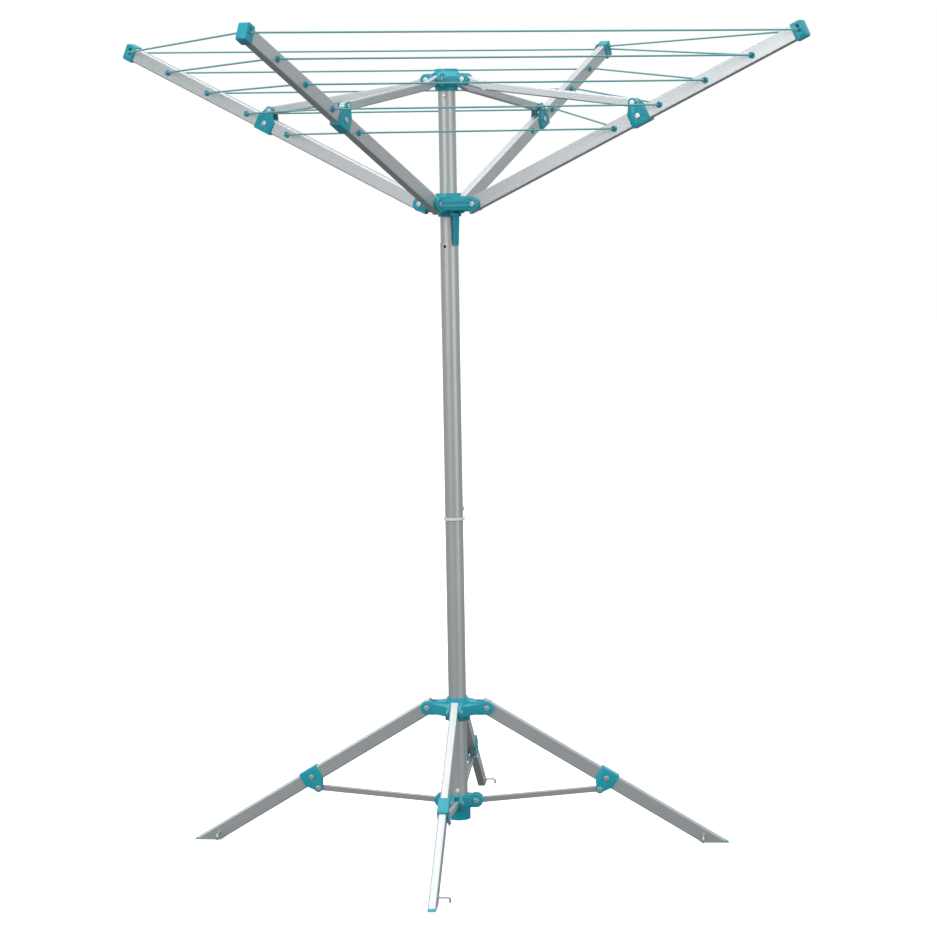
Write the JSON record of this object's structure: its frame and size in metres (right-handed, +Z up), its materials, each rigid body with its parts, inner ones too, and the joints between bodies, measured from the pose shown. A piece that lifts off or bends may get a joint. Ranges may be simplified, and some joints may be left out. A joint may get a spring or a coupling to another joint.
{
  "type": "rotary clothesline",
  "caption": "Folding rotary clothesline: line canopy on slotted tube arms that turns on a mast, standing on folding legs with sliding hubs.",
  "frame": {"origin": "on the ground at the mast axis", "axes": "+Z up along the mast, +X towards the legs' right side, -Y towards the viewer of the open dryer"},
  "size_m": [1.2032, 1.2032, 1.4479],
  "materials": {
    "teal_plastic": "moulded, soft gloss",
    "aluminium_tube": "satin anodised",
    "steel": "zinc plated",
    "white_plastic": "moulded",
    "button_plastic": "moulded",
    "line_cord": "smooth sheath"
  },
  "bodies": {
    "stand": {"mast_lower": "aluminium_tube", "base_hub": "teal_plastic", "base_hub_rivets": "steel"},
    "rotor": {"mast_middle": "aluminium_tube", "mast_top": "aluminium_tube", "mast_bearing": "white_plastic", "top_hub": "teal_plastic", "top_hub_rivets": "steel", "clothesline": "line_cord"},
    "base_button": {"base_button": "button_plastic"},
    "mast_button": {"mast_button": "button_plastic"},
    "leg_hub": {"leg_hub": "teal_plastic", "leg_hub_rivets": "steel"},
    "runner": {"runner_hub": "teal_plastic", "runner_rivets": "steel"},
    "latch_lever": {"latch_lever": "teal_plastic"},
    "stay_right": {"stay_right": "aluminium_tube"},
    "leg_right": {"leg_tube_right": "aluminium_tube", "leg_foot_right": "teal_plastic", "leg_saddle_right": "teal_plastic", "leg_rivets_right": "steel"},
    "stay_back": {"stay_back": "aluminium_tube"},
    "leg_back": {"leg_tube_back": "aluminium_tube", "leg_foot_back": "teal_plastic", "leg_saddle_back": "teal_plastic", "leg_rivets_back": "steel"},
    "stay_left": {"stay_left": "aluminium_tube"},
    "leg_left": {"leg_tube_left": "aluminium_tube", "leg_foot_left": "teal_plastic", "leg_saddle_left": "teal_plastic", "leg_rivets_left": "steel"},
    "stay_front": {"stay_front": "aluminium_tube"},
    "leg_front": {"leg_tube_front": "aluminium_tube", "leg_foot_front": "teal_plastic", "leg_saddle_front": "teal_plastic", "leg_rivets_front": "steel"},
    "strut_right": {"strut_right": "aluminium_tube"},
    "arm_right": {"arm_tube_right": "aluminium_tube", "arm_cap_right": "teal_plastic", "line_guides_right": "teal_plastic", "arm_saddle_right": "teal_plastic", "arm_rivets_right": "steel"},
    "strut_back": {"strut_back": "aluminium_tube"},
    "arm_back": {"arm_tube_back": "aluminium_tube", "arm_cap_back": "teal_plastic", "line_guides_back": "teal_plastic", "arm_saddle_back": "teal_plastic", "arm_rivets_back": "steel"},
    "strut_left": {"strut_left": "aluminium_tube"},
    "arm_left": {"arm_tube_left": "aluminium_tube", "arm_cap_left": "teal_plastic", "line_guides_left": "teal_plastic", "arm_saddle_left": "teal_plastic", "arm_rivets_left": "steel"},
    "strut_front": {"strut_front": "aluminium_tube"},
    "arm_front": {"arm_tube_front": "aluminium_tube", "arm_cap_front": "teal_plastic", "line_guides_front": "teal_plastic", "arm_saddle_front": "teal_plastic", "arm_rivets_front": "steel"}
  },
  "joints": [
    {"name": "canopy_turn", "type": "hinge", "parent": "stand", "child": "rotor", "pos_m": [0, 0, 0.585], "axis": [0, 0, 1], "continuous": true},
    {"name": "runner_slide", "type": "slide", "parent": "rotor", "child": "runner", "axis": [0, 0, 1], "range_m": [-0.46177, 0], "deforming": ["clothesline"]},
    {"name": "leg_hub_slide", "type": "slide", "parent": "stand", "child": "leg_hub", "axis": [0, 0, 1], "range_m": [0, 0.30293]},
    {"name": "strut_fold_right", "type": "hinge", "parent": "rotor", "child": "strut_right", "pos_m": [0.03179, -0.0169, 1.366], "axis": [0.4695, 0.8829, 0], "range_deg": [0, 76.72]},
    {"name": "arm_fold_right", "type": "hinge", "parent": "strut_right", "child": "arm_right", "pos_m": [0.31903, -0.16963, 1.31841], "axis": [-0.4695, -0.8829, 0], "range_deg": [0, 135.82]},
    {"name": "strut_fold_back", "type": "hinge", "parent": "rotor", "child": "strut_back", "pos_m": [0.0169, 0.03179, 1.366], "axis": [-0.8829, 0.4695, 0], "range_deg": [0, 76.72]},
    {"name": "arm_fold_back", "type": "hinge", "parent": "strut_back", "child": "arm_back", "pos_m": [0.16963, 0.31903, 1.31841], "axis": [0.8829, -0.4695, 0], "range_deg": [0, 135.82]},
    {"name": "strut_fold_left", "type": "hinge", "parent": "rotor", "child": "strut_left", "pos_m": [-0.03179, 0.0169, 1.366], "axis": [-0.4695, -0.8829, 0], "range_deg": [0, 76.72]},
    {"name": "arm_fold_left", "type": "hinge", "parent": "strut_left", "child": "arm_left", "pos_m": [-0.31903, 0.16963, 1.31841], "axis": [0.4695, 0.8829, 0], "range_deg": [0, 135.82]},
    {"name": "strut_fold_front", "type": "hinge", "parent": "rotor", "child": "strut_front", "pos_m": [-0.0169, -0.03179, 1.366], "axis": [0.8829, -0.4695, 0], "range_deg": [0, 76.72]},
    {"name": "arm_fold_front", "type": "hinge", "parent": "strut_front", "child": "arm_front", "pos_m": [-0.16963, -0.31903, 1.31841], "axis": [-0.8829, 0.4695, 0], "range_deg": [0, 135.82]},
    {"name": "stay_fold_right", "type": "hinge", "parent": "stand", "child": "stay_right", "pos_m": [0.03184, -0.00323, 0.075], "axis": [-0.1011, -0.9949, 0], "range_deg": [0, 78.31]},
    {"name": "leg_fold_right", "type": "hinge", "parent": "stay_right", "child": "leg_right", "pos_m": [0.25402, -0.0258, 0.09681], "axis": [0.1011, 0.9949, 0], "range_deg": [0, 131.31]},
    {"name": "stay_fold_back", "type": "hinge", "parent": "stand", "child": "stay_back", "pos_m": [0.00323, 0.03184, 0.075], "axis": [0.9949, -0.1011, 0], "range_deg": [0, 78.31]},
    {"name": "leg_fold_back", "type": "hinge", "parent": "stay_back", "child": "leg_back", "pos_m": [0.0258, 0.25402, 0.09681], "axis": [-0.9949, 0.1011, 0], "range_deg": [0, 131.31]},
    {"name": "stay_fold_left", "type": "hinge", "parent": "stand", "child": "stay_left", "pos_m": [-0.03184, 0.00323, 0.075], "axis": [0.1011, 0.9949, 0], "range_deg": [0, 78.31]},
    {"name": "leg_fold_left", "type": "hinge", "parent": "stay_left", "child": "leg_left", "pos_m": [-0.25402, 0.0258, 0.09681], "axis": [-0.1011, -0.9949, 0], "range_deg": [0, 131.31]},
    {"name": "stay_fold_front", "type": "hinge", "parent": "stand", "child": "stay_front", "pos_m": [-0.00323, -0.03184, 0.075], "axis": [-0.9949, 0.1011, 0], "range_deg": [0, 78.31]},
    {"name": "leg_fold_front", "type": "hinge", "parent": "stay_front", "child": "leg_front", "pos_m": [-0.0258, -0.25402, 0.09681], "axis": [0.9949, -0.1011, 0], "range_deg": [0, 131.31]},
    {"name": "latch_lever_hinge", "type": "hinge", "parent": "runner", "child": "latch_lever", "pos_m": [0.01224, -0.01959, 1.1305], "axis": [-0.848, -0.5299, 0], "range_deg": [0, 18]},
    {"name": "mast_button_press", "type": "slide", "parent": "rotor", "child": "mast_button", "axis": [-1, 0, 0], "range_m": [0, 0.0026], "stiffness_N_per_m": 400},
    {"name": "base_button_press", "type": "slide", "parent": "stand", "child": "base_button", "axis": [0.1392, 0.9903, 0], "range_m": [0, 0.0026], "stiffness_N_per_m": 400}
  ],
  "couplings": [
    {"joint": "strut_fold_right", "follows": "runner_slide", "rad_per_m": -2.8923},
    {"joint": "arm_fold_right", "follows": "runner_slide", "rad_per_m": -5.126},
    {"joint": "strut_fold_back", "follows": "runner_slide", "rad_per_m": -2.8923},
    {"joint": "arm_fold_back", "follows": "runner_slide", "rad_per_m": -5.126},
    {"joint": "strut_fold_left", "follows": "runner_slide", "rad_per_m": -2.8923},
    {"joint": "arm_fold_left", "follows": "runner_slide", "rad_per_m": -5.126},
    {"joint": "strut_fold_front", "follows": "runner_slide", "rad_per_m": -2.8923},
    {"joint": "arm_fold_front", "follows": "runner_slide", "rad_per_m": -5.126},
    {"joint": "stay_fold_right", "follows": "leg_hub_slide", "rad_per_m": 4.5005},
    {"joint": "leg_fold_right", "follows": "leg_hub_slide", "rad_per_m": 7.5542},
    {"joint": "stay_fold_back", "follows": "leg_hub_slide", "rad_per_m": 4.5005},
    {"joint": "leg_fold_back", "follows": "leg_hub_slide", "rad_per_m": 7.5542},
    {"joint": "stay_fold_left", "follows": "leg_hub_slide", "rad_per_m": 4.5005},
    {"joint": "leg_fold_left", "follows": "leg_hub_slide", "rad_per_m": 7.5542},
    {"joint": "stay_fold_front", "follows": "leg_hub_slide", "rad_per_m": 4.5005},
    {"joint": "leg_fold_front", "follows": "leg_hub_slide", "rad_per_m": 7.5542}
  ]
}
